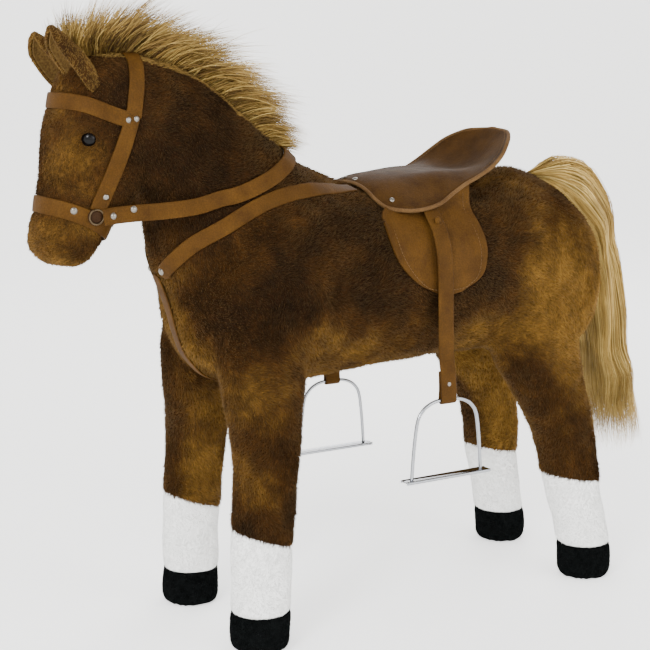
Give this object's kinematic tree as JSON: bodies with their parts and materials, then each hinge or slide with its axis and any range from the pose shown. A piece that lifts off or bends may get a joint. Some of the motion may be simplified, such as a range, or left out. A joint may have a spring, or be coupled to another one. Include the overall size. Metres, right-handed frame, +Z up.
{
  "type": "plush standing riding pony",
  "caption": "Standing plush riding pony with a bridle, breastplate, scooped saddle, swinging stirrups, hair mane and tail, on a steel tube frame.",
  "frame": {"origin": "on the floor under the middle of the pony's box", "axes": "+Z up; the head faces -Y; +X is the pony's left"},
  "size_m": [0.259, 0.8155, 0.678],
  "materials": {
    "plush_coat": "matte",
    "sock_plush": "matte",
    "hoof_plush": "matte",
    "foot_board": "matte",
    "hair": "matte",
    "eye_plastic": "gloss",
    "tack_leather": "satin",
    "saddle_padding": "matte",
    "bright_metal": "polished",
    "frame_steel": "satin"
  },
  "bodies": {
    "horse": {"torso": "plush_coat", "neck": "plush_coat", "head": "plush_coat", "front_left_leg": "plush_coat", "front_right_leg": "plush_coat", "hind_left_leg": "plush_coat", "hind_right_leg": "plush_coat", "left_ear": "plush_coat", "right_ear": "plush_coat", "front_left_sock": "sock_plush", "front_right_sock": "sock_plush", "hind_left_sock": "sock_plush", "hind_right_sock": "sock_plush", "front_left_hoof": "hoof_plush", "front_right_hoof": "hoof_plush", "hind_left_hoof": "hoof_plush", "hind_right_hoof": "hoof_plush", "front_left_sole": "hoof_plush", "front_right_sole": "hoof_plush", "hind_left_sole": "hoof_plush", "hind_right_sole": "hoof_plush", "front_left_foot_board": "foot_board", "front_right_foot_board": "foot_board", "hind_left_foot_board": "foot_board", "hind_right_foot_board": "foot_board", "mane": "hair", "left_eye": "eye_plastic", "right_eye": "eye_plastic", "headpiece": "tack_leather", "browband": "tack_leather", "noseband": "tack_leather", "chest_strap": "tack_leather", "saddle_seat": "tack_leather", "left_cheek_strap": "tack_leather", "left_breast_strap": "tack_leather", "left_flap": "tack_leather", "right_cheek_strap": "tack_leather", "right_breast_strap": "tack_leather", "right_flap": "tack_leather", "saddle_pad": "saddle_padding", "left_bit_ring": "bright_metal", "left_breast_stud": "bright_metal", "left_leather_rivet": "bright_metal", "right_bit_ring": "bright_metal", "right_breast_stud": "bright_metal", "right_leather_rivet": "bright_metal", "front_leg_tube": "frame_steel", "hind_leg_tube": "frame_steel", "spine_tube": "frame_steel", "neck_tube": "frame_steel"},
    "left_leather": {"left_stirrup_leather": "tack_leather"},
    "left_stirrup": {"left_stirrup_arch": "bright_metal", "left_stirrup_tread": "bright_metal"},
    "right_leather": {"right_stirrup_leather": "tack_leather"},
    "right_stirrup": {"right_stirrup_arch": "bright_metal", "right_stirrup_tread": "bright_metal"},
    "reins": {"reins": "tack_leather"},
    "tail": {"tail": "hair"}
  },
  "joints": [
    {"name": "left_leather_swing", "type": "hinge", "parent": "horse", "child": "left_leather", "pos_m": [0.0944, 0.018, 0.45], "axis": [1, 0, 0], "range_deg": [-22, 20]},
    {"name": "left_stirrup_tilt", "type": "hinge", "parent": "left_leather", "child": "left_stirrup", "pos_m": [0.122, 0.018, 0.254], "axis": [0, -1, 0], "range_deg": [-5, 70]},
    {"name": "right_leather_swing", "type": "hinge", "parent": "horse", "child": "right_leather", "pos_m": [-0.0944, 0.018, 0.45], "axis": [1, 0, 0], "range_deg": [-22, 20]},
    {"name": "right_stirrup_tilt", "type": "hinge", "parent": "right_leather", "child": "right_stirrup", "pos_m": [-0.122, 0.018, 0.231], "axis": [0, 1, 0], "range_deg": [-5, 70]},
    {"name": "reins_lift", "type": "hinge", "parent": "horse", "child": "reins", "pos_m": [0, -0.356, 0.467], "axis": [1, 0, 0], "range_deg": [0, 6]},
    {"name": "tail_lift", "type": "hinge", "parent": "horse", "child": "tail", "pos_m": [0, 0.215, 0.487], "axis": [1, 0, 0], "range_deg": [0, 45]}
  ]
}
